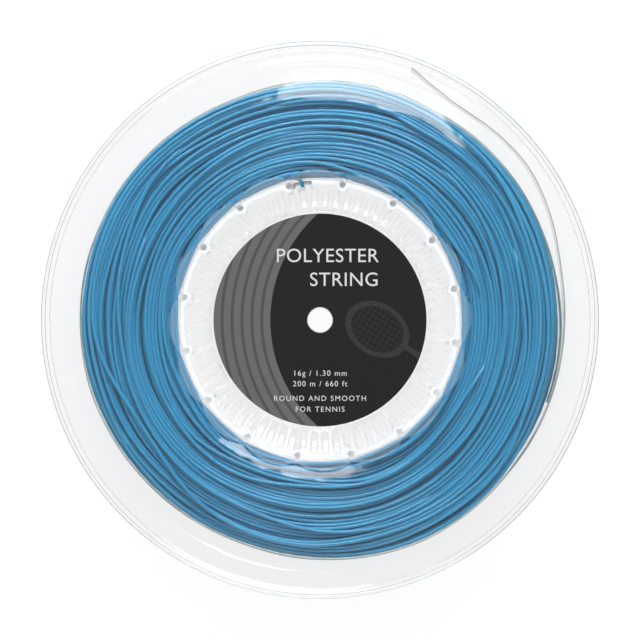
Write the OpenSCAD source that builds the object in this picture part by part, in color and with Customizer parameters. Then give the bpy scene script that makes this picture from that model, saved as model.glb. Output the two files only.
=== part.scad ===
// Racket string reel: a clear plastic spool in three mouldings, wound with racket string.
// The reel lies flat. +Z runs along the spindle bore, and the origin is the bore's centre.
// All sizes are in millimetres.

/* [Reel] */
// Outside diameter of the two flanges
flange_d = 180; // [150:1:240]
// Overall width, over the two rim beads
reel_w = 36; // [30:0.5:60]
// Diameter of the spindle bore through both webs
bore_d = 8; // [6:0.1:12]

/* [Drum] */
// Outside diameter of the drum's wall
drum_d = 90.4; // [75:0.1:110]
// Thickness of the drum's wall
drum_wall = 1.3; // [1:0.1:2]
// Number of socket lugs round the drum
lug_count = 16; // [12:1:16]
// Diameter of each socket lug
lug_d = 4; // [3.6:0.1:5]
// How far each lug stands out of the drum's wall
lug_out = 1.2; // [0.8:0.1:1.6]
// Direction of the first lug, counter-clockwise from +X
lug_start = 13; // [0:1:22]
// Depth of the pin sockets in the ends of the drum
socket_depth = 7; // [5:0.5:10]

/* [Flange] */
// Thickness of the flange and its web
flange_t = 1.5; // [1.2:0.1:2.4]
// Radial width of the bead round the rim
bead_w = 1.3; // [1.1:0.1:2.4]
// Height of the bead over the flange's outer face
bead_h = 1.5; // [1.4:0.1:2.4]
// Width of the flat band inside the bead
rim_flat_w = 5.8; // [3:0.1:9]
// How far the flange bows outwards between the drum and the flat band
bow_h = 1.3; // [0.6:0.1:1.4]
// Diameter of each pin
pin_d = 2; // [1.6:0.1:2.4]
// Length of each pin
pin_l = 6; // [4:0.5:8]
// Outside diameter of the hub boss round the spindle bore
boss_d = 13; // [12.6:0.1:18]
// Length of the hub boss inside the web
boss_l = 6; // [2:0.5:10]
// Width of the anchor slot for the inner end of the string
anchor_w = 6.2; // [4:0.1:6.4]
// Depth of the anchor slot, from the drum towards the hub
anchor_depth = 1.7; // [1:0.1:2.4]

/* [Fluted ring] */
// Number of flutes in the ring round the label
flute_count = 70; // [40:1:72]
// Width of each flute
flute_w = 1.9; // [1.2:0.1:2]
// Depth of each flute
flute_depth = 0.5; // [0.3:0.1:0.8]
// Plain band between the flutes and the drum's outside
flute_edge = 1.3; // [1:0.1:2]
// Length of each flute
flute_l = 8.1; // [5:0.1:12]

/* [Labels] */
// Plain band between the flutes and the label
label_edge = 1.4; // [0.8:0.1:3]
// Thickness of a label
label_t = 0.2; // [0.1:0.05:0.3]
// Depth of the seat that a label lies in
label_seat = 0.3; // [0.2:0.05:0.5]
// Gap round a label, in its seat and round the bore
label_gap = 0.2; // [0.1:0.05:0.5]

/* [String] */
// Diameter of the string
string_d = 1.3; // [1.1:0.05:1.5]
// Free depth of the flanges outside the winding
string_margin = 12.6; // [8:0.1:20]
// Radius on the outer corners of the winding
winding_round = 2.5; // [1:0.1:5]
// Height of the string's outer end over the middle of the winding
string_end_z = 4; // [-6:0.5:6]

/* [Wrap film] */
// Width of the clear film round the winding
film_w = 25; // [16:0.5:26]
// Thickness of the film
film_t = 0.3; // [0.2:0.05:0.5]

/* [Clearances] */
// Radial gap between a pin and its socket
pin_gap = 0.05; // [0.03:0.01:0.1]
// Gap between the winding and a flange, and between the winding and the lugs
winding_gap = 0.3; // [0.2:0.05:0.6]
// Gap between the film and what it lies on
film_gap = 0.1; // [0.05:0.01:0.2]

/* [Hidden] */
$fn = 180;
SMALL_FN = 40;
BOW_STEPS = 12; // cones that the bow is made of
CUT = 1; // how far a cutting shape runs past the face that it opens

clear_plastic = [0.93, 0.95, 0.97, 0.45];
label_black = [0.12, 0.12, 0.12];
string_blue = [0.22, 0.5, 0.72];
film_clear = [0.8, 0.86, 0.84, 0.5];

flange_r = flange_d / 2;
drum_r = drum_d / 2;
drum_in_r = drum_r - drum_wall;
lug_pitch = 360 / lug_count;
lug_tip_r = drum_r + lug_out;
lug_at_r = lug_tip_r - lug_d / 2;

face_z = reel_w / 2 - bead_h; // outer face of the flat parts of a flange
inner_z = face_z - flange_t; // inner face of a flange, where the drum ends
bead_in_r = flange_r - bead_w;
bead_chamfer = bead_w / 3;

// The bow is an arc between the drum's wall and the flat band inside the bead
bow_out_r = bead_in_r - rim_flat_w;
bow_half = (bow_out_r - drum_r) / 2;
bow_r = (bow_half * bow_half + bow_h * bow_h) / (2 * bow_h);
bow_mid_r = (bow_out_r + drum_r) / 2;

// The hub's recess has a lobe over each gap between two lugs
lobe_out = 3.5; // how far a lobe's tip stands out of the drum's wall
lobe_tip_r = drum_r + lobe_out;
lobe_meet_r = lug_tip_r + 0.2; // just past the lug's own tip
lobe_meet_x = lobe_meet_r * cos(lug_pitch / 2);
lobe_at_r = (pow(lobe_tip_r, 2) - pow(lobe_meet_r, 2)) / (2 * (lobe_tip_r - lobe_meet_x));

flute_out_r = drum_r - flute_edge;
flute_in_r = flute_out_r - flute_l;
label_r = flute_in_r - label_edge;
label_z = face_z - label_seat; // the face that a label lies on

// The anchor slot lies a quarter of the way from the fifth lug back to the fourth
anchor_angle = lug_start + 3.75 * lug_pitch;
anchor_out_r = drum_r - 0.2;
anchor_round = (pow(anchor_w / 2, 2) + pow(anchor_depth, 2)) / (2 * anchor_depth);
notch_w = string_d * 2;
notch_depth = string_d * 3;

winding_in_r = lug_tip_r + winding_gap;
winding_out_r = flange_r - string_margin;
winding_half_w = inner_z - winding_gap;

end_groove = string_d + 2 * film_gap;
string_end_r = winding_out_r - string_d / 2 - film_gap;
string_end_from = -60;
string_end_sweep = 110;

// The film's free end, as [direction, share of the free depth inside the bead]
FILM_TAIL = [[-50, 0], [-30, 0.02], [-15, 0.06], [0, 0.13], [14, 0.26], [24, 0.44], [36, 0.58],
    [46, 0.57], [56, 0.48], [63, 0.57], [68, 0.73], [71, 0.9]];
FILM_STEP = 2; // degrees between the film's points
film_under = 30; // how far the film's inner end lies under its free end, in degrees
film_in_r = winding_out_r + film_gap;
film_free = bead_in_r - film_in_r - film_t;

module round_lugs() {
    for (i = [0 : lug_count - 1])
        rotate(lug_start + i * lug_pitch) translate([lug_at_r, 0, 0]) children();
}

module drum_section() {
    difference() {
        circle(r = drum_r);
        circle(r = drum_in_r);
    }
    round_lugs() circle(d = lug_d, $fn = SMALL_FN);
}

module core_drum() {
    color(clear_plastic) difference() {
        linear_extrude(2 * inner_z, center = true) drum_section();
        for (side = [0, 1]) mirror([0, 0, side]) round_lugs()
            translate([0, 0, inner_z - socket_depth])
                cylinder(d = pin_d + 2 * pin_gap, h = socket_depth + CUT, $fn = SMALL_FN);
        rotate(anchor_angle) translate([drum_in_r - CUT, -notch_w / 2, inner_z - notch_depth])
            cube([drum_wall + 2 * CUT, notch_w, notch_depth + CUT]);
    }
}

// The bow of a face that lies at height z, from the drum's wall to the flat band
function bow_line(z, steps) = [for (i = steps) let (x = bow_half * (2 * i / BOW_STEPS - 1))
    [bow_mid_r + x, z + bow_h - bow_r + sqrt(bow_r * bow_r - x * x)]];

module flange_profile() {
    translate([bore_d / 2, inner_z]) square([drum_r - bore_d / 2, flange_t]);
    translate([bow_out_r, inner_z]) square([rim_flat_w, flange_t]);
    polygon(concat(bow_line(inner_z, [0 : BOW_STEPS]), bow_line(face_z, [BOW_STEPS : -1 : 0])));
    translate([bore_d / 2, inner_z - boss_l]) square([(boss_d - bore_d) / 2, boss_l + flange_t]);
    translate([bead_in_r, inner_z]) polygon([[0, 0], [bead_w, 0],
        [bead_w, flange_t + bead_h - bead_chamfer], [bead_w - bead_chamfer, flange_t + bead_h],
        [bead_chamfer, flange_t + bead_h], [0, flange_t + bead_h - bead_chamfer]]);
}

module hub_recess() {
    translate([0, 0, face_z]) {
        cylinder(r = lobe_at_r, h = 2 * bow_h);
        for (i = [0 : lug_count - 1])
            rotate(lug_start + (i + 0.5) * lug_pitch) translate([lobe_at_r, 0, 0])
                cylinder(r = lobe_tip_r - lobe_at_r, h = 2 * bow_h);
    }
}

module flutes() {
    translate([0, 0, face_z - flute_depth]) linear_extrude(flute_depth + CUT)
        for (i = [0 : flute_count - 1]) rotate(i * 360 / flute_count) {
            translate([flute_in_r + flute_w / 2, -flute_w / 2])
                square([flute_l - flute_w, flute_w]);
            translate([flute_in_r + flute_w / 2, 0]) circle(d = flute_w, $fn = SMALL_FN);
            translate([flute_out_r - flute_w / 2, 0]) circle(d = flute_w, $fn = SMALL_FN);
        }
}

module anchor_slot() {
    rotate(anchor_angle) translate([0, 0, inner_z - CUT]) intersection() {
        cylinder(r = anchor_out_r, h = flange_t + 2 * CUT);
        translate([anchor_out_r - anchor_depth + anchor_round, 0, 0])
            cylinder(r = anchor_round, h = flange_t + 2 * CUT);
    }
}

module pins() {
    tip = pin_d / 5;
    round_lugs() translate([0, 0, inner_z - pin_l]) {
        cylinder(d1 = pin_d - 2 * tip, d2 = pin_d, h = tip, $fn = SMALL_FN);
        translate([0, 0, tip]) cylinder(d = pin_d, h = pin_l - tip + flange_t / 2, $fn = SMALL_FN);
    }
}

module flange() {
    difference() {
        rotate_extrude() flange_profile();
        hub_recess();
        flutes();
        anchor_slot();
        translate([0, 0, label_z]) cylinder(r = label_r + label_gap, h = label_seat + CUT);
    }
    pins();
}

module front_flange() {
    color(clear_plastic) flange();
}

module rear_flange() {
    color(clear_plastic) mirror([0, 0, 1]) flange();
}

module label() {
    translate([0, 0, label_z]) difference() {
        cylinder(r = label_r, h = label_t);
        translate([0, 0, -CUT]) cylinder(r = bore_d / 2 + label_gap, h = label_t + 2 * CUT);
    }
}

module front_label() {
    color(label_black) label();
}

module rear_label() {
    color(label_black) mirror([0, 0, 1]) label();
}

module string_winding() {
    color(string_blue) rotate_extrude() difference() {
        union() {
            translate([winding_in_r, -winding_half_w])
                square([winding_out_r - winding_round - winding_in_r, 2 * winding_half_w]);
            translate([winding_in_r, winding_round - winding_half_w])
                square([winding_out_r - winding_in_r, 2 * (winding_half_w - winding_round)]);
            for (side = [-1, 1])
                translate([winding_out_r - winding_round, side * (winding_half_w - winding_round)])
                    circle(r = winding_round);
        }
        translate([winding_out_r - end_groove, string_end_z - end_groove / 2])
            square([end_groove + CUT, end_groove]);
    }
}

module string_start() {
    color(string_blue) rotate(anchor_angle)
        translate([drum_in_r - string_d / 2, 0, inner_z - notch_depth + string_d]) rotate([0, 90, 0])
            cylinder(d = string_d, h = winding_in_r - film_gap - drum_in_r + string_d / 2);
}

module string_end() {
    color(string_blue) rotate(string_end_from) translate([0, 0, string_end_z])
        rotate_extrude(angle = string_end_sweep) translate([string_end_r, 0])
            circle(d = string_d, $fn = SMALL_FN);
}

// Where the film lies at a direction, as a distance from the axis to its inner face
function film_r(a) = a <= FILM_TAIL[0][0]
    ? film_in_r
    : film_in_r + film_free * lookup(a, FILM_TAIL);
function film_point(a, out) = (film_r(a) + out) * [cos(a), sin(a)];

module wrap_film() {
    last = FILM_TAIL[len(FILM_TAIL) - 1][0];
    turn = [FILM_TAIL[0][0] + film_under - 360 : FILM_STEP : last];
    back = [last : -FILM_STEP : FILM_TAIL[0][0] + film_under - 360];
    color(film_clear) linear_extrude(film_w, center = true)
        polygon([for (a = turn) film_point(a, 0), for (a = back) film_point(a, film_t)]);
}

core_drum();
front_flange();
rear_flange();
front_label();
rear_label();
string_winding();
string_start();
string_end();
wrap_film();
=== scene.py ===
import math

import bpy
import numpy as np
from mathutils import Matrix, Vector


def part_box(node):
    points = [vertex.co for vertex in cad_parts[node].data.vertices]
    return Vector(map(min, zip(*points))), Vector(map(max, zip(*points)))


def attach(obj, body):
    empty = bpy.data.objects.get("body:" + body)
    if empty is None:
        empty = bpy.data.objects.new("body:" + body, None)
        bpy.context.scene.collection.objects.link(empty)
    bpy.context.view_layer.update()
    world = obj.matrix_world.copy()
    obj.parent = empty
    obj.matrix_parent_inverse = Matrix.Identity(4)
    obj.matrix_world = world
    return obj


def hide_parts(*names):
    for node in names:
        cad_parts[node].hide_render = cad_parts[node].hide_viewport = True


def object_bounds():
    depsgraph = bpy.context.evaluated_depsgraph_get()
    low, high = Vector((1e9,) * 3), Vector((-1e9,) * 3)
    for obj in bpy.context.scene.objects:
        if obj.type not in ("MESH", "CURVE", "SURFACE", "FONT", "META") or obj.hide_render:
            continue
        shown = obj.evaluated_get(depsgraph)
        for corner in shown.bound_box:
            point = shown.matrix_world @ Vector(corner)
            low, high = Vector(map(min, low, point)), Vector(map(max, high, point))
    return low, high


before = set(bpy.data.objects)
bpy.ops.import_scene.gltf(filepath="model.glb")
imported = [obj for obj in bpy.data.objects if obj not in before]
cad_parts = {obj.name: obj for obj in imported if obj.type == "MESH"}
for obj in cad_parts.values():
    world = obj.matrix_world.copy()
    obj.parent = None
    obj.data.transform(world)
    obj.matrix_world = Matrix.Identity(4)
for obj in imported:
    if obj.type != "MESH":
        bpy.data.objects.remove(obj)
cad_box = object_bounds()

# ---------------------------------------------------------------------------------------------
# The view. The reel lies flat with its printed face up. The camera hangs straight above the
# spindle bore with a long lens, so that the two flanges nearly cover each other.
# ---------------------------------------------------------------------------------------------
MM = 0.001  # sizes are in millimetres from here on, and meshes are in metres
flange_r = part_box("front_flange")[1][0] / MM
half_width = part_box("front_flange")[1][2] / MM

camera_height = 2400
view_width = 206.5  # how much the picture takes in, at the height of the front flange
film_back = 36

camera_data = bpy.data.cameras.new("camera")
camera_data.sensor_width = film_back
camera_data.lens = film_back * (camera_height - half_width) / view_width
camera_data.clip_end = 50
camera = bpy.data.objects.new("camera", camera_data)
camera.location = (0, 0, camera_height * MM)
bpy.context.scene.collection.objects.link(camera)
bpy.context.scene.camera = camera

# ---------------------------------------------------------------------------------------------
# The core drum. A clear polystyrene tube, injection moulded, with sixteen half-round lugs down
# its wall. Each lug has a socket in both ends for the flanges' pins. It keeps the CAD's shape.
# ---------------------------------------------------------------------------------------------


class Wire:
    """The output of a material's node. A sum with it adds Math nodes."""

    def __init__(self, finish, socket):
        self.finish = finish
        self.socket = socket

    def maths(self, operation, *values):
        return self.finish.node("Math", {"operation": operation}, dict(enumerate(values)))

    def __add__(self, other):
        return self.maths("ADD", self, other)

    def __sub__(self, other):
        return self.maths("SUBTRACT", self, other)

    def __rsub__(self, other):
        return self.maths("SUBTRACT", other, self)

    def __mul__(self, other):
        return self.maths("MULTIPLY", self, other)

    __radd__ = __add__
    __rmul__ = __mul__

    def sine(self):
        return self.maths("SINE", self)

    def size(self):
        return self.maths("ABSOLUTE", self)

    def root(self):
        return self.maths("SQRT", self)

    def greater(self, other):
        return self.maths("MAXIMUM", self, other)

    def below(self, limit, soft):
        """1 where this is under the limit and 0 over it, with an edge as wide as soft."""
        ends = {"Value": self, "From Min": limit - soft / 2, "From Max": limit + soft / 2,
                "To Min": 1.0, "To Max": 0.0}
        return self.finish.node("MapRange", {"interpolation_type": "SMOOTHSTEP"}, ends)


class Finish:
    """A material, built node by node."""

    def __init__(self, name):
        self.material = bpy.data.materials.new(name)
        self.material.use_nodes = True
        self.tree = self.material.node_tree
        self.tree.nodes.clear()

    def node(self, kind, settings=None, sockets=None, out=0):
        """Adds one node: its settings first, then the values or links of its sockets."""
        node = self.tree.nodes.new("ShaderNode" + kind)
        for name, value in (settings or {}).items():
            setattr(node, name, value)
        for name, value in (sockets or {}).items():
            socket = node.inputs[name] if isinstance(name, int) else named_socket(node, name)
            if isinstance(value, Wire):
                self.tree.links.new(value.socket, socket)
            elif socket.type == "RGBA":
                socket.default_value = (*value, 1)
            else:
                socket.default_value = value
        return Wire(self, node.outputs[out])

    def noise(self, scale, detail=2.0):
        """Soft random spots, with scale of them to a metre."""
        place = self.node("TexCoord", out="Object")
        return self.node("TexNoise", {}, {"Vector": place, "Scale": scale, "Detail": detail})

    def mix(self, share, low, high):
        """A colour between two others."""
        ends = {"Factor_Float": share, "A_Color": low, "B_Color": high}
        return self.node("Mix", {"data_type": "RGBA"}, ends, out=2)

    def bump(self, height):
        """The normal of a surface that stands this many metres higher."""
        return self.node("Bump", {}, {"Height": height, "Distance": 1.0})

    def show(self, shader):
        output = self.tree.nodes.new("ShaderNodeOutputMaterial")
        self.tree.links.new(shader.socket, output.inputs["Surface"])
        return self.material


def named_socket(node, name):
    return next(s for s in node.inputs if name in (s.identifier, s.name))


def clear_plastic(name, tint, haze):
    """Clear plastic with a faintly rippled surface. It lets the lamps shine through."""
    finish = Finish(name)
    plastic = finish.node("BsdfPrincipled", {}, {
        "Base Color": finish.mix(finish.noise(40.0), tint, tuple(0.985 * part for part in tint)),
        "Roughness": 0.015 + 0.03 * finish.noise(900.0),
        "IOR": 1.49,
        "Transmission Weight": 1 - haze,
        "Normal": finish.bump(finish.noise(70.0) * (0.1 * MM)),
    })
    to_lamps = finish.node("BsdfTransparent", {}, {"Color": tuple(0.97 * part for part in tint)})
    is_lamp = finish.node("LightPath", out="Is Shadow Ray")
    return finish.show(finish.node("MixShader", {}, {0: is_lamp, 1: plastic, 2: to_lamps}))


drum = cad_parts["core_drum"]
drum.data.materials.clear()
drum.data.materials.append(clear_plastic("milky_drum_plastic", (0.90, 0.915, 0.925), 0.42))

# ---------------------------------------------------------------------------------------------
# The two flanges. Clear mouldings that bow outwards between the drum and a flat band inside the
# rim's bead. A shallow recess with a lobe over each gap between two lugs holds the hub: a ring
# of seventy flutes round the label's seat. Sixteen pins press into the drum.
# ---------------------------------------------------------------------------------------------
bore_r = 4.0
drum_r = 45.2
flange_t = 1.5
bead_height = 1.5
bead_width = 1.3
rim_flat = 5.8  # the flat band inside the bead
bow_height = 1.3
face_z = half_width - bead_height  # the outer face of the flange's flat parts
inner_z = face_z - flange_t
bead_in_r = flange_r - bead_width
bow_out_r = bead_in_r - rim_flat
bow_half = (bow_out_r - drum_r) / 2
bow_middle = (bow_out_r + drum_r) / 2
bow_curve = (bow_half**2 + bow_height**2) / (2 * bow_height)

lug_count = 16
lug_start = math.radians(13)
lug_pitch = 2 * math.pi / lug_count
lug_out = 1.2
lug_r = 2.0
lug_tip_r = drum_r + lug_out
lug_at_r = lug_tip_r - lug_r
lobe_tip_r = drum_r + 3.5
lobe_meet_r = lug_tip_r + 0.2

flute_count = 70
flute_half = 0.95
flute_depth = 0.25
flute_wall = 0.35  # how wide the soft side of a flute is
flute_run_out = 3.4  # how long its ends take to reach full depth
flute_in_r = 35.8
flute_out_r = 43.9
label_r = 34.4
seat_z = face_z - 0.3
seat_r = label_r + 0.2
columns_per_flute = 12

recess_in_r = drum_r - 0.8  # where the cloudy part of the recess begins
boss_r = 6.5
boss_end_z = inner_z - 6
pin_r = 1.0
pin_end_z = inner_z - 6
pin_sides = 24
slot_angle = lug_start + 3.75 * lug_pitch
slot_out_r = drum_r - 0.2
slot_depth = 1.7
slot_half = 3.1


def bow(r):
    """How far the flange's face stands out at a distance from the axis."""
    across = np.clip(np.abs(r - bow_middle), 0, bow_half)
    return np.sqrt(bow_curve**2 - across**2) - (bow_curve - bow_height)


def lobed_outline(angles):
    """The edge of the hub's recess: an arc of one circle over each gap between two lugs."""
    meet_x = lobe_meet_r * math.cos(lug_pitch / 2)
    circle_at = (lobe_tip_r**2 - lobe_meet_r**2) / (2 * (lobe_tip_r - meet_x))
    circle_r = lobe_tip_r - circle_at
    off_middle = (angles - lug_start) % lug_pitch - lug_pitch / 2
    aside = circle_at * np.sin(off_middle)
    return circle_at * np.cos(off_middle) + np.sqrt(circle_r**2 - aside**2)


def ramp(share):
    share = np.clip(share, 0, 1)
    return share**2 * (3 - 2 * share)


def flute(r, angles):
    """The depth of the flutes at one distance from the axis. Their ends run out gently."""
    pitch = 2 * math.pi / flute_count
    off_flute = (angles + pitch / 2) % pitch - pitch / 2
    inside = ramp((flute_half + 0.3 - np.abs(r * np.sin(off_flute))) / flute_wall)
    ends = ramp((r - flute_in_r) / flute_run_out) * ramp((flute_out_r - r) / flute_run_out)
    return flute_depth * inside * ends


def new_piece(name, points, faces, material, body):
    """A smooth mesh of points in millimetres that rides on a body."""
    mesh = bpy.data.meshes.new(name)
    mesh.from_pydata((np.asarray(points) * MM).tolist(), [], faces)
    mesh.materials.append(material)
    piece = bpy.data.objects.new(name, mesh)
    bpy.context.scene.collection.objects.link(piece)
    if body:
        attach(piece, body)
    return piece


def smooth(piece, sharp_over):
    """Shades a piece smooth, but for the edges that turn by more than an angle in degrees."""
    piece.data.shade_smooth()
    piece.data.set_sharp_from_angle(angle=math.radians(sharp_over))


def turned(rings, columns, side):
    """The points and faces of a closed shape of rings, each one (distance, height)."""
    angles = 2 * math.pi * np.arange(columns) / columns
    points = []
    for r, z in rings:
        r = np.broadcast_to(r, columns)
        points.append(np.stack([r * np.cos(angles), r * np.sin(angles),
                                side * np.broadcast_to(z, columns)], axis=1))
    ring, column = np.meshgrid(np.arange(len(rings)), np.arange(columns), indexing="ij")
    after = (ring + 1) % len(rings)
    beside = (column + 1) % columns
    corners = [ring * columns + column, after * columns + column,
               after * columns + beside, ring * columns + beside]
    faces = np.stack(corners[::side], axis=-1).reshape(-1, 4)
    return np.concatenate(points), faces.tolist()


def flange_rings():
    """The flange's section, from the bore out along its outer face and back along the inner."""
    angles = 2 * math.pi * np.arange(flute_count * columns_per_flute) / (flute_count * columns_per_flute)
    lobes = lobed_outline(angles)
    rings = [(bore_r, seat_z - 0.2), (bore_r + 0.15, seat_z), (seat_r - 0.2, seat_z),
             (seat_r, seat_z + 0.08), (seat_r, face_z - 0.06), (seat_r + 0.08, face_z),
             (flute_in_r - 0.5, face_z)]
    for r in np.linspace(flute_in_r - 0.2, flute_out_r + 0.2, 26):
        rings.append((r, face_z - flute(r, angles)))
    rings += [(flute_out_r + 0.6, face_z), (lobes - 0.9, face_z), (lobes - 0.1, face_z),
              (lobes - 0.02, face_z + 0.05), (lobes + 0.02, face_z + bow(lobes) - 0.05),
              (lobes + 0.1, face_z + bow(lobes + 0.1))]
    for share in (0.12, 0.3, 0.6, 1.0):
        r = (lobes + 0.1) * (1 - share) + (lobe_tip_r + 4) * share
        rings.append((r, face_z + bow(r)))
    bowed = np.linspace(lobe_tip_r + 6, bow_out_r - 0.1, 18)
    rings += [(r, face_z + bow(r)) for r in bowed]
    crest = (bead_in_r + flange_r) / 2
    rings += [(bow_out_r + 0.1, face_z), (bead_in_r - 0.3, face_z), (bead_in_r - 0.08, face_z + 0.08),
              (bead_in_r, face_z + 0.3), (bead_in_r, half_width - 0.45),
              (bead_in_r + 0.12, half_width - 0.15), (crest - 0.22, half_width),
              (crest + 0.22, half_width), (flange_r - 0.12, half_width - 0.15),
              (flange_r, half_width - 0.45), (flange_r, inner_z + 0.3),
              (flange_r - 0.08, inner_z + 0.08), (flange_r - 0.3, inner_z), (bow_out_r + 0.1, inner_z)]
    rings += [(r, inner_z + bow(r)) for r in bowed[::-1]]
    rings += [(r, inner_z + bow(r)) for r in (lobe_tip_r + 2, drum_r + 1, drum_r)]
    rings += [(boss_r + 0.4, inner_z), (boss_r + 0.1, inner_z - 0.1), (boss_r, inner_z - 0.4),
              (boss_r, boss_end_z + 0.2), (boss_r - 0.2, boss_end_z), (bore_r + 0.2, boss_end_z),
              (bore_r, boss_end_z + 0.2)]
    return rings


def prism(outline, low, high):
    """The points and faces of an upright solid with a flat outline."""
    count = len(outline)
    points = [(x, y, low) for x, y in outline] + [(x, y, high) for x, y in outline]
    faces = [tuple(range(count - 1, -1, -1)), tuple(range(count, 2 * count))]
    for i in range(count):
        j = (i + 1) % count
        faces.append((i, j, count + j, count + i))
    return points, faces


def work_with(piece, operation, solids, side):
    """Joins solids to a piece or cuts them out of it."""
    tool_mesh = bpy.data.meshes.new("tool")
    points, faces = [], []
    for solid_points, solid_faces in solids:
        start = len(points)
        points += [(x * MM, y * MM, side * z * MM) for x, y, z in solid_points]
        faces += [[start + i for i in face[::side]] for face in solid_faces]
    tool_mesh.from_pydata(points, [], faces)
    tool = bpy.data.objects.new("tool", tool_mesh)
    bpy.context.scene.collection.objects.link(tool)
    step = piece.modifiers.new(operation, "BOOLEAN")
    step.operation = operation
    step.solver = "MANIFOLD"
    step.object = tool
    worked = piece.evaluated_get(bpy.context.evaluated_depsgraph_get())
    result = bpy.data.meshes.new_from_object(worked)
    piece.modifiers.clear()
    piece.data = result
    bpy.data.objects.remove(tool)


def circle_points(x, y, r, count):
    turns = [2 * math.pi * i / count for i in range(count)]
    return [(x + r * math.cos(a), y + r * math.sin(a)) for a in turns]


def slot_outline():
    """The slot that the string's inner end was drawn through: a lens inside the drum's edge."""
    curve = (slot_half**2 + slot_depth**2) / (2 * slot_depth)
    spread = math.asin(slot_half / slot_out_r)
    outer = [slot_angle + spread * (1 - 2 * i / 8) for i in range(9)]
    outline = [(slot_out_r * math.cos(a), slot_out_r * math.sin(a)) for a in outer]
    chord_r = slot_out_r * math.cos(spread)
    middle = chord_r - slot_depth + curve
    half_turn = math.asin(slot_half / curve)
    for i in range(1, 12):
        a = half_turn * (2 * i / 12 - 1)
        along = middle - curve * math.cos(a)
        aside = curve * math.sin(a)
        outline.append((along * math.cos(slot_angle) - aside * math.sin(slot_angle),
                        along * math.sin(slot_angle) + aside * math.cos(slot_angle)))
    return outline[::-1]


def edge_plastic_painted_shade(name):
    """The thin cut edge of clear plastic, which looks gray-green end on: the green is the plastic's own
    tint, and the dark gray is painted shade for the light that refraction and the long path through the
    plastic take away.
    """
    finish = Finish(name)
    return finish.show(finish.node("BsdfPrincipled", {}, {
        "Base Color": finish.mix(finish.noise(200.0), (0.16, 0.24, 0.22), (0.26, 0.34, 0.32)),
        "Roughness": 0.3 + 0.1 * finish.noise(900.0),
        "Transmission Weight": 0.4,
    }))


flange_plastic = clear_plastic("clear_flange_plastic", (0.994, 0.995, 0.998), 0.004)
recess_plastic = clear_plastic("cloudy_recess_plastic", (0.97, 0.98, 0.99), 0.11)
# The flutes' side walls get a grayer tint. This is painted shade for the faint gray lines that
# refraction draws along moulded edges of clear plastic.
flute_side_painted_shade = clear_plastic("flute_side_plastic", (0.88, 0.885, 0.89), 0.004)
# The slot's cut walls carry the edge plastic's painted shade, a dark gray-green that stands in for how
# the clear edge looks end on.
slot_edge_painted_shade = edge_plastic_painted_shade("slot_edge_painted_shade")
flange_looks = [flange_plastic, slot_edge_painted_shade, recess_plastic, flute_side_painted_shade]
slot_middle_r = slot_out_r - slot_depth / 2
slot_x = slot_middle_r * math.cos(slot_angle)
slot_y = slot_middle_r * math.sin(slot_angle)
for side, where in ((1, "front"), (-1, "rear")):
    points, faces = turned(flange_rings(), flute_count * columns_per_flute, side)
    flange = new_piece(where + "_clear_flange", points, faces, flange_plastic, where)
    pins = []
    for lug in range(lug_count):
        a = lug_start + lug * lug_pitch
        ring = circle_points(lug_at_r * math.cos(a), lug_at_r * math.sin(a), pin_r, pin_sides)
        pins.append(prism(ring, pin_end_z, inner_z + 0.6))
    work_with(flange, "UNION", pins, side)
    work_with(flange, "DIFFERENCE", [prism(slot_outline(), inner_z - 1, face_z + 1)], side)
    flange.data.materials.clear()
    for look in flange_looks:
        flange.data.materials.append(look)
    for face in flange.data.polygons:
        x, y, z = face.center / MM
        r = math.hypot(x, y)
        height = side * z
        upright = abs(face.normal.z)
        # upright faces round the slot take the edge plastic's painted shade
        if math.hypot(x - slot_x, y - slot_y) < 1.1 * slot_half and upright < 0.3:
            face.material_index = flange_looks.index(slot_edge_painted_shade)
        elif recess_in_r < r < lobed_outline(math.atan2(y, x)) and abs(height - face_z) < 0.03:
            face.material_index = flange_looks.index(recess_plastic)
        # the flutes' side walls take the grayer tint of painted shade
        elif flute_in_r < r < flute_out_r and height > face_z - flute_depth - 0.05 and upright < 0.93:
            face.material_index = flange_looks.index(flute_side_painted_shade)
    smooth(flange, 50)
    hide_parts(where + "_flange")

# ---------------------------------------------------------------------------------------------
# The two labels. Round white paper stickers, printed black on the outside with a band of gray
# arcs, a faint racket and plain words for what is on the reel. Each lies in a flange's seat.
# ---------------------------------------------------------------------------------------------
label_z = seat_z + 0.2
label_hole_r = bore_r + 0.2
label_columns = 240
arcs_x = 30  # the middle of the gray arcs, right of the bore
arcs_in_r = 46.0
arc_pitch = 3.2
racket_x = 18.5
racket_y = -3.0
racket_tilt = math.radians(-32)
racket_length = 10.0  # half of its head's
racket_width = 7.6
racket_mesh = 1.7
shaft_middle = 14.0
shaft_half = 4.2
letter_lift = 0.012


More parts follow.
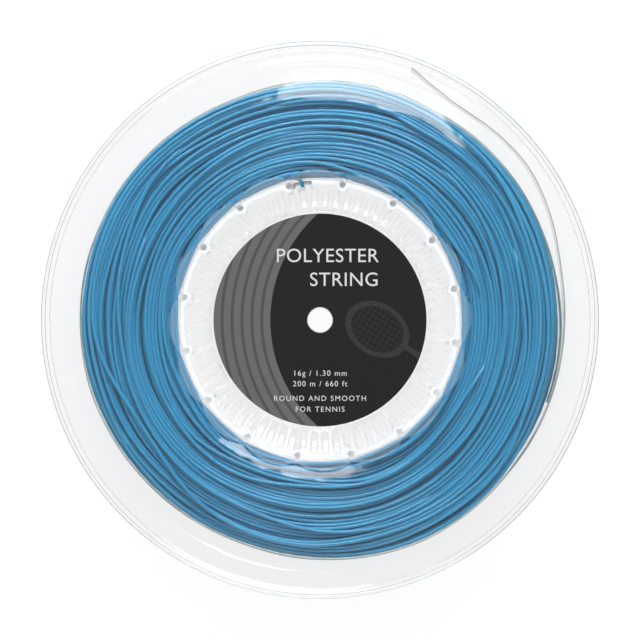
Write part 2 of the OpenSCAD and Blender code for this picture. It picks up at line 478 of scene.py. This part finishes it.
def label_paper():
    finish = Finish("label_paper")
    place = finish.node("TexCoord", out="Object")
    x = finish.node("SeparateXYZ", {}, {"Vector": place}, "X") * (1 / MM)
    y = finish.node("SeparateXYZ", {}, {"Vector": place}, "Y") * (1 / MM)
    z = finish.node("SeparateXYZ", {}, {"Vector": place}, "Z") * (1 / MM)

    from_right = ((x - arcs_x) * (x - arcs_x) + y * y).root()
    band = 1 - from_right.below(arcs_in_r, 0.12)
    arcs = (from_right * (2 * math.pi / arc_pitch)).sine().below(0.55, 0.35)

    cosine, sine = math.cos(racket_tilt), math.sin(racket_tilt)
    along = (x - racket_x) * cosine + (y - racket_y) * sine
    across = (y - racket_y) * cosine - (x - racket_x) * sine
    oval = (along * along * (1 / racket_length**2) + across * across * (1 / racket_width**2)).root()
    hoop = (oval - 1.0).size().below(0.1, 0.04)
    mains = (along * (2 * math.pi / racket_mesh)).sine().below(-0.75, 0.4)
    crosses = (across * (2 * math.pi / racket_mesh)).sine().below(-0.75, 0.4)
    bed = mains.greater(crosses) * oval.below(0.95, 0.04) * 0.5
    shaft = across.size().below(0.9, 0.3) * (along - shaft_middle).size().below(shaft_half, 0.3)
    racket = hoop.greater(bed).greater(shaft)

    black = finish.mix(finish.noise(500.0), (0.0155, 0.0155, 0.016), (0.0185, 0.0185, 0.019))
    with_racket = finish.mix(racket, black, (0.038, 0.038, 0.039))
    printed = finish.mix(band * (0.55 + 0.45 * arcs), with_racket, (0.13, 0.13, 0.132))
    colour = finish.mix(z.size().below(label_z - 0.06, 0.02), printed, (0.85, 0.85, 0.84))
    return finish.show(finish.node("BsdfPrincipled", {}, {
        "Base Color": colour,
        "Roughness": 0.42 + 0.16 * finish.noise(1500.0),
        "Specular IOR Level": 0.1,
        "Normal": finish.bump(finish.noise(2500.0) * (0.004 * MM)),
    }))


def label_ink():
    finish = Finish("label_ink")
    return finish.show(finish.node("BsdfPrincipled", {}, {
        "Base Color": finish.mix(finish.noise(1200.0), (0.6, 0.6, 0.6), (0.68, 0.68, 0.68)),
        "Roughness": 0.4 + 0.15 * finish.noise(3000.0),
    }))


def lettering(lines):
    """Flat letters with a thin body. A line is its words, size, spacing and place."""
    points, faces = [], []
    for words, size, spacing, align, x, y in lines:
        curve = bpy.data.curves.new("words", "FONT")
        curve.body = words
        curve.size = size
        curve.space_character = spacing
        curve.align_x = align
        curve.resolution_u = 4
        curve.extrude = 0.01
        text = bpy.data.objects.new("words", curve)
        bpy.context.scene.collection.objects.link(text)
        shape = text.evaluated_get(bpy.context.evaluated_depsgraph_get())
        mesh = bpy.data.meshes.new_from_object(shape)
        start = len(points)
        points += [(v.co.x + x, v.co.y + y, v.co.z) for v in mesh.vertices]
        faces += [[start + corner for corner in face.vertices] for face in mesh.polygons]
        bpy.data.objects.remove(text)
    return points, faces


letter_points, letter_faces = lettering([
    ("POLYESTER", 6.3, 1.05, "RIGHT", 19.0, 18.7),
    ("STRING", 6.3, 1.05, "RIGHT", 19.0, 11.0),
    ("16g / 1.30 mm", 2.5, 1.2, "CENTER", 0, -18.0),
    ("200 m / 660 ft", 2.5, 1.2, "CENTER", 0, -21.4),
    ("ROUND AND SMOOTH", 2.4, 1.25, "CENTER", 0, -26.1),
    ("FOR TENNIS", 2.4, 1.25, "CENTER", 0, -29.6),
])
paper = label_paper()
ink = label_ink()
label_section = [(label_hole_r, label_z - 0.03), (label_hole_r + 0.03, label_z),
                 (label_r - 0.05, label_z), (label_r, label_z - 0.04), (label_r, seat_z + 0.03),
                 (label_r - 0.03, seat_z), (label_hole_r + 0.03, seat_z),
                 (label_hole_r, seat_z + 0.03)]
for side, where in ((1, "front"), (-1, "rear")):
    points, faces = turned(label_section, label_columns, side)
    sticker = new_piece(where + "_sticker", points, faces, paper, where)
    smooth(sticker, 35)
    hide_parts(where + "_label")
    placed = [(side * x, y, side * (label_z + z + letter_lift)) for x, y, z in letter_points]
    new_piece(where + "_lettering", placed, letter_faces, ink, where)

# ---------------------------------------------------------------------------------------------
# The string. One smooth polyester monofilament, 1.30 mm thick and 200 m long, wound under tension
# by a guide that runs to and fro. Its inner end comes out through the notch in the drum.
# ---------------------------------------------------------------------------------------------
string_r = 0.65
string_length = 200e3
string_sides = 8
steps_per_turn = 80
steps_ahead = 20
guide_pitch = 1.36
guide_end = 13.6  # where it turns back beside the drum and at the rim
guide_short = 1.5  # how much sooner it may turn back
guide_bulge = 1.0  # how much farther it goes halfway out, where the flange bows
guide_slip = 1.25  # how far a turn that slips off the edge ends up beyond it
guide_wander = 0.12
turns_to_rim = 515  # by then the guide's swing is as short again as it is beside the drum
start_z = 12.4
lead_start_r = 43.3  # the inner end starts inside the drum, and bends round between the next two
lead_bend_r = 44.4
lead_out_r = 46.4
nesting = 1.2  # how far apart two strands' centres end up, once the tension beds them in
loose_side = 0.012  # more than that on the side where the turns lie loosest
loose_angle = math.radians(15)
cell = 0.1
grid_end = 15.4
settle = 0.5  # how far a strand slips sideways into a valley
slip_cost = 0.3
slip_ease = 0.22  # how fast a strand takes up a slip, as a share of it at each step
flange_room = 0.15
first_angle = lug_start + 4 * lug_pitch
turns_guided = 560  # more than the 200 m can take
string_pieces = 5


def guided_heights(random, steps):
    """Where the guide holds the string: to and fro, with a stay at each end where turns slip."""
    heights = np.zeros(steps)
    slipped = np.zeros(steps)
    height, way, stay = start_z, -1, 0
    end = guide_end
    for step in range(steps):
        if stay > 0:
            stay -= 1
        else:
            height += way * guide_pitch / steps_per_turn
        if abs(height) > end:
            height = way * end
            stay = int(steps_per_turn * random.uniform(0.3, 0.9))
            span = int(steps_per_turn * random.uniform(0.3, 0.75))
            bump = way * np.sin(np.linspace(0, math.pi, span))**0.7
            start = step + int(random.uniform(-0.5, 0.5) * (stay - span / 2))
            covered = slipped[start:start + span]
            covered += guide_slip * random.uniform(0.6, 1) * bump[:len(covered)]
            way = -way
            share = min(step / (turns_to_rim * steps_per_turn), 1)
            end = guide_end + 4 * guide_bulge * share * (1 - share)
            end -= guide_short * random.uniform(0, 1)
        heights[step] = height
    turned_by = 2 * math.pi * np.arange(steps) / steps_per_turn
    for wave in range(9):
        swing = guide_wander * random.uniform(0.25, 0.5)
        heights += swing * np.sin(random.uniform(0.15, 2.2) * turned_by + random.uniform(0, 6.3))
    return np.clip(heights + slipped, -grid_end, grid_end)


def pulled_taut(distances, angles):
    """Straightens a turn over the points that hold it out, as tension does."""
    x = distances * np.cos(angles)
    y = distances * np.sin(angles)
    held = []
    for i in range(len(angles)):
        while len(held) > 1:
            a, b = held[-2], held[-1]
            if (x[b] - x[a]) * (y[i] - y[b]) > (y[b] - y[a]) * (x[i] - x[b]):
                break
            held.pop()
        held.append(i)
    taut = np.array(distances)
    for a, b in zip(held[:-1], held[1:]):
        run_x, run_y = x[b] - x[a], y[b] - y[a]
        spans = slice(a, b + 1)
        side_step = run_y * np.cos(angles[spans]) - run_x * np.sin(angles[spans])
        taut[spans] = (x[a] * run_y - y[a] * run_x) / side_step
    return taut


def wound_string():
    """The string's centre line, turn after turn, each laid on the turns beneath it."""
    random = np.random.default_rng(3)
    heights = guided_heights(random, turns_guided * steps_per_turn)
    angles = first_angle + 2 * math.pi * np.arange(steps_per_turn) / steps_per_turn
    rows = int(round(2 * grid_end / cell)) + 1
    rest = np.full((steps_per_turn, rows), drum_r + string_r)
    rest[::steps_per_turn // lug_count] = lug_tip_r + string_r
    apart = nesting + loose_side * np.cos(angles - loose_angle)
    slips = np.arange(-round(settle / cell), round(settle / cell) + 1)
    reach = int(nesting / cell) + 1
    distances, laid_at = [], []
    slip, length, turn = 0.0, 0.0, 0
    before = np.empty(0)
    while length < string_length:
        steps = turn * steps_per_turn + np.arange(steps_per_turn + steps_ahead)
        at = steps % steps_per_turn
        guided = heights[steps]
        tried = np.round((guided[:, None] + slips * cell + grid_end) / cell).astype(int)
        tried = np.clip(tried, 0, rows - 1)
        cost = rest[at[:, None], tried] + slip_cost * (slips * cell)**2
        wanted = slips[np.argmin(cost, axis=1)] * cell
        slipped = np.empty(len(wanted))
        for i, want in enumerate(wanted):
            slip += slip_ease * (want - slip)
            slipped[i] = slip
        slip = slipped[steps_per_turn - 1]
        laid = np.clip(guided + slipped, -grid_end, grid_end)
        row = np.round((laid + grid_end) / cell).astype(int)
        resting = np.concatenate([before, rest[at, row]])
        lead = len(before)
        around = first_angle + 2 * math.pi * (np.arange(len(resting)) - lead) / steps_per_turn
        taut = pulled_taut(resting, around)
        soft = np.array(taut)
        soft[1:-1] = 0.25 * taut[:-2] + 0.5 * taut[1:-1] + 0.25 * taut[2:]
        settled = soft[lead:lead + steps_per_turn]
        room = inner_z + bow(settled) - string_r - flange_room
        laid = np.clip(laid[:steps_per_turn], -room, room)
        row = np.round((laid + grid_end) / cell).astype(int)
        for offset in range(-reach, reach + 1):
            beside = row + offset
            gap = (beside * cell - grid_end) - laid
            touching = (beside >= 0) & (beside < rows) & (np.abs(gap) < apart)
            step = np.nonzero(touching)[0]
            over = settled[step] + np.sqrt(apart[step]**2 - gap[step]**2)
            rest[step, beside[step]] = np.maximum(rest[step, beside[step]], over)
        distances.append(settled)
        laid_at.append(laid)
        before = settled[-2:]
        length += 2 * math.pi * settled.mean()
        turn += 1
    return np.concatenate(distances), np.concatenate(laid_at)


def stiffened(values):
    """Rounds off short bends, which the string is too stiff to follow."""
    ends = np.concatenate([values[:1], values[:1], values, values[-1:], values[-1:]])
    return (ends[:-4] + 4 * ends[1:-3] + 6 * ends[2:-2] + 4 * ends[3:-1] + ends[4:]) / 16


def string_line():
    """The points of the string's centre line, from its inner end to the end of its 200 m."""
    distances, heights = wound_string()
    for again in range(2):
        distances, heights = stiffened(distances), stiffened(heights)
    over_lugs = distances[::steps_per_turn // lug_count]
    over_lugs[:] = np.maximum(over_lugs, lug_tip_r + string_r)
    angles = first_angle + 2 * math.pi * np.arange(len(distances)) / steps_per_turn
    wound = np.stack([distances * np.cos(angles), distances * np.sin(angles), heights], axis=1)
    out = np.array([math.cos(slot_angle), math.sin(slot_angle), 0])
    ends = [out * lead_bend_r, out * lead_out_r, wound[0]]
    ends[0][2] = ends[1][2] = start_z
    bend = [out * lead_start_r + [0, 0, start_z]]
    for share in np.arange(0, 1, 0.125):
        bend.append((1 - share)**2 * ends[0] + 2 * share * (1 - share) * ends[1] + share**2 * ends[2])
    line = np.concatenate([bend, wound])
    run = np.concatenate([[0], np.cumsum(np.linalg.norm(np.diff(line, axis=0), axis=1))])
    last = np.searchsorted(run, string_length)
    share = (string_length - run[last - 1]) / (run[last] - run[last - 1])
    tip = line[last - 1] + share * (line[last] - line[last - 1])
    return np.concatenate([line[:last], [tip]])


def tube(line, ahead, radius, sides):
    """The points and faces of a round rod along a line, closed at both ends."""
    up = np.array([0, 0, 1]) - ahead[:, 2:] * ahead
    up /= np.linalg.norm(up, axis=1)[:, None]
    across = np.cross(ahead, up)
    turns = 2 * math.pi * (np.arange(sides) + 0.5) / sides
    rim = np.cos(turns)[None, :, None] * up[:, None] + np.sin(turns)[None, :, None] * across[:, None]
    points = (line[:, None] + radius * rim).reshape(-1, 3)
    ring, side = np.meshgrid(np.arange(len(line) - 1), np.arange(sides), indexing="ij")
    beside = (side + 1) % sides
    corners = [ring * sides + side, ring * sides + beside,
               (ring + 1) * sides + beside, (ring + 1) * sides + side]
    faces = np.stack(corners, axis=-1).reshape(-1, 4).tolist()
    last = (len(line) - 1) * sides
    return points, faces + [list(range(sides))[::-1], list(range(last, last + sides))]


def string_polyester():
    """Glossy blue polyester, a little cloudy, with the fine draw marks of extrusion."""
    finish = Finish("blue_polyester")
    return finish.show(finish.node("BsdfPrincipled", {}, {
        "Base Color": (0.015, 0.215, 0.395),
        "Roughness": 0.18 + 0.1 * finish.noise(120.0),
        "IOR": 1.5,
        "Coat Weight": 0.2,
        "Coat Roughness": 0.08,
        "Normal": finish.bump(finish.noise(700.0) * (0.004 * MM)),
    }))


string_middle = string_line()
run_on = np.gradient(string_middle, axis=0)
run_on /= np.linalg.norm(run_on, axis=1)[:, None]
polyester = string_polyester()
cuts = np.linspace(0, len(string_middle) - 1, string_pieces + 1).astype(int)
for i in range(string_pieces):
    part = slice(cuts[i], cuts[i + 1] + 1)
    points, faces = tube(string_middle[part], run_on[part], string_r, string_sides)
    strand = new_piece("string_run_%d" % (i + 1), points, faces, polyester, "drum")
    smooth(strand, 60)
    if i == 0:
        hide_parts("string_winding", "string_start")
    if i == string_pieces - 1:
        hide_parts("string_end")

# ---------------------------------------------------------------------------------------------
# The wrap film. A strip of clear PVC film, 25 mm wide, pulled once round the full winding so that
# it can't spring loose. Its outer end has let go, and stands off towards the rim.
# ---------------------------------------------------------------------------------------------
film_t = 0.3
film_half = 12.5
film_gap = 0.06
film_from = -380
film_step = 1.5  # degrees
film_reach = bead_in_r - 0.3
# The tail's directions in degrees, and its shares of the way from the winding to the rim.
film_tail = [(-50, 0), (-30, 0.01), (-15, 0.03), (0, 0.07), (14, 0.18), (24, 0.38), (36, 0.55),
             (46, 0.52), (56, 0.42), (63, 0.53), (68, 0.73), (71, 0.9)]


def winding_edge():
    """How far out the winding reaches under the film, at each degree, with the dips bridged."""
    distance = np.hypot(string_middle[:, 0], string_middle[:, 1]) + string_r
    degree = np.degrees(np.arctan2(string_middle[:, 1], string_middle[:, 0])).round().astype(int) % 360
    under_film = np.abs(string_middle[:, 2]) < film_half
    edge = np.zeros(360)
    np.maximum.at(edge, degree[under_film], distance[under_film])
    bridged = np.max([np.roll(edge, shift) for shift in range(-5, 6)], axis=0)
    return np.mean([np.roll(bridged, shift) for shift in range(-5, 6)], axis=0)


def film_route():
    """Directions in radians along the film and how far out its middle lies."""
    degrees = np.arange(film_from, film_tail[-1][0] + 0.1, film_step)
    edge = winding_edge()
    hugging = np.interp(degrees % 360, np.arange(361), np.append(edge, edge[0]))
    second_turn = np.clip((degrees - film_from - 330) / 30, 0, 1)
    hugging += film_gap + film_t / 2 + second_turn * (film_t + film_gap)
    route = hugging + (film_reach - hugging) * np.interp(degrees, *zip(*film_tail))
    for again in range(6):
        route[1:-1] = np.maximum(hugging[1:-1], (route[:-2] + 2 * route[1:-1] + route[2:]) / 4)
    return np.radians(degrees), route


def film_plastic():
    finish = Finish("wrap_film")
    film = finish.node("BsdfPrincipled", {}, {
        "Base Color": finish.mix(finish.noise(60.0), (0.72, 0.80, 0.77), (0.80, 0.87, 0.84)),
        "Roughness": 0.08 + 0.1 * finish.noise(300.0),
        "IOR": 1.45,
        "Transmission Weight": 1.0,
        "Normal": finish.bump(finish.noise(110.0) * (0.08 * MM)),
    })
    to_lamps = finish.node("BsdfTransparent", {}, {"Color": (0.86, 0.9, 0.89)})
    is_lamp = finish.node("LightPath", out="Is Shadow Ray")
    return finish.show(finish.node("MixShader", {}, {0: is_lamp, 1: film, 2: to_lamps}))


film_angles, film_middle = film_route()
widths = np.linspace(-film_half, film_half, 9)
section = [(side * film_t / 2, width) for side in (1, -1) for width in widths[::side]]
film_points = []
for angle, middle in zip(film_angles, film_middle):
    for off, width in section:
        ripple = 0.12 * (width / film_half)**2 * math.sin(11 * angle + 0.1 * width)
        r = middle + off + max(ripple, 0)
        film_points.append((r * math.cos(angle), r * math.sin(angle), width))
around = len(section)
film_faces = []
for station in range(len(film_angles) - 1):
    for i in range(around):
        j = (i + 1) % around
        start = station * around
        film_faces.append((start + j, start + i, start + around + i, start + around + j))
for start, way in ((0, 1), ((len(film_angles) - 1) * around, -1)):
    for i in range(len(widths) - 1):
        cap = [start + i, start + i + 1, start + around - 2 - i, start + around - 1 - i]
        film_faces.append(cap[::way])
film = new_piece("film_strip", film_points, film_faces, film_plastic(), "drum")
# The film's cut edges, seen end on from above, carry the edge plastic's painted shade: the green is the
# film's tint, and the darkness stands in for light lost through it.
film.data.materials.append(edge_plastic_painted_shade("film_edge_painted_shade"))
for face in film.data.polygons:
    if abs(face.normal.z) > 0.5:
        face.material_index = 1
smooth(film, 40)
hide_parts("wrap_film")
film_run = np.stack([film_middle * np.cos(film_angles), film_middle * np.sin(film_angles)], axis=1)

# ---------------------------------------------------------------------------------------------
# The floor and the lights. A board that glows white, as the top of a light table does, a soft
# sky all round, a strip light high above, and two wide fills at the far and near side.
# ---------------------------------------------------------------------------------------------


def white_board():
    finish = Finish("white_board")
    return finish.show(finish.node("BsdfPrincipled", {}, {
        "Base Color": finish.mix(finish.noise(8.0), (0.07, 0.07, 0.07), (0.08, 0.08, 0.08)),
        "Roughness": 0.9,
        "Specular IOR Level": 0.1,
        "Emission Color": (1.0, 1.0, 1.0),
        "Emission Strength": 0.935,
    }))


floor_half = 4000
floor_z = cad_box[0][2] / MM
corners = [(x * floor_half, y * floor_half, floor_z) for x, y in ((-1, -1), (1, -1), (1, 1), (-1, 1))]
floor = new_piece("floor", corners, [[0, 1, 2, 3]], white_board(), None)


def softbox(name, place, size, radiance):
    """An area light that faces the reel. Its size and place are in millimetres."""
    lamp = bpy.data.lights.new(name, "AREA")
    lamp.shape = "RECTANGLE"
    lamp.size = size[0] * MM
    lamp.size_y = size[1] * MM
    lamp.energy = radiance * math.pi * size[0] * size[1] * MM**2
    lit = bpy.data.objects.new(name, lamp)
    lit.location = [part * MM for part in place]
    lit.rotation_euler = lit.location.to_track_quat("Z", "Y").to_euler()
    bpy.context.scene.collection.objects.link(lit)


softbox("key", (215, 980, 5000), (790, 440), 5)
softbox("far_fill", (0, 1500, 1100), (2000, 1000), 7)
softbox("near_fill", (0, -1500, 1300), (1500, 1000), 2.0)

sky = bpy.data.worlds.new("sky")
sky.use_nodes = True
sky.node_tree.nodes["Background"].inputs["Color"].default_value = (0.97, 0.985, 1, 1)
sky.node_tree.nodes["Background"].inputs["Strength"].default_value = 0.35
bpy.context.scene.world = sky
bpy.context.scene.view_settings.view_transform = "Standard"
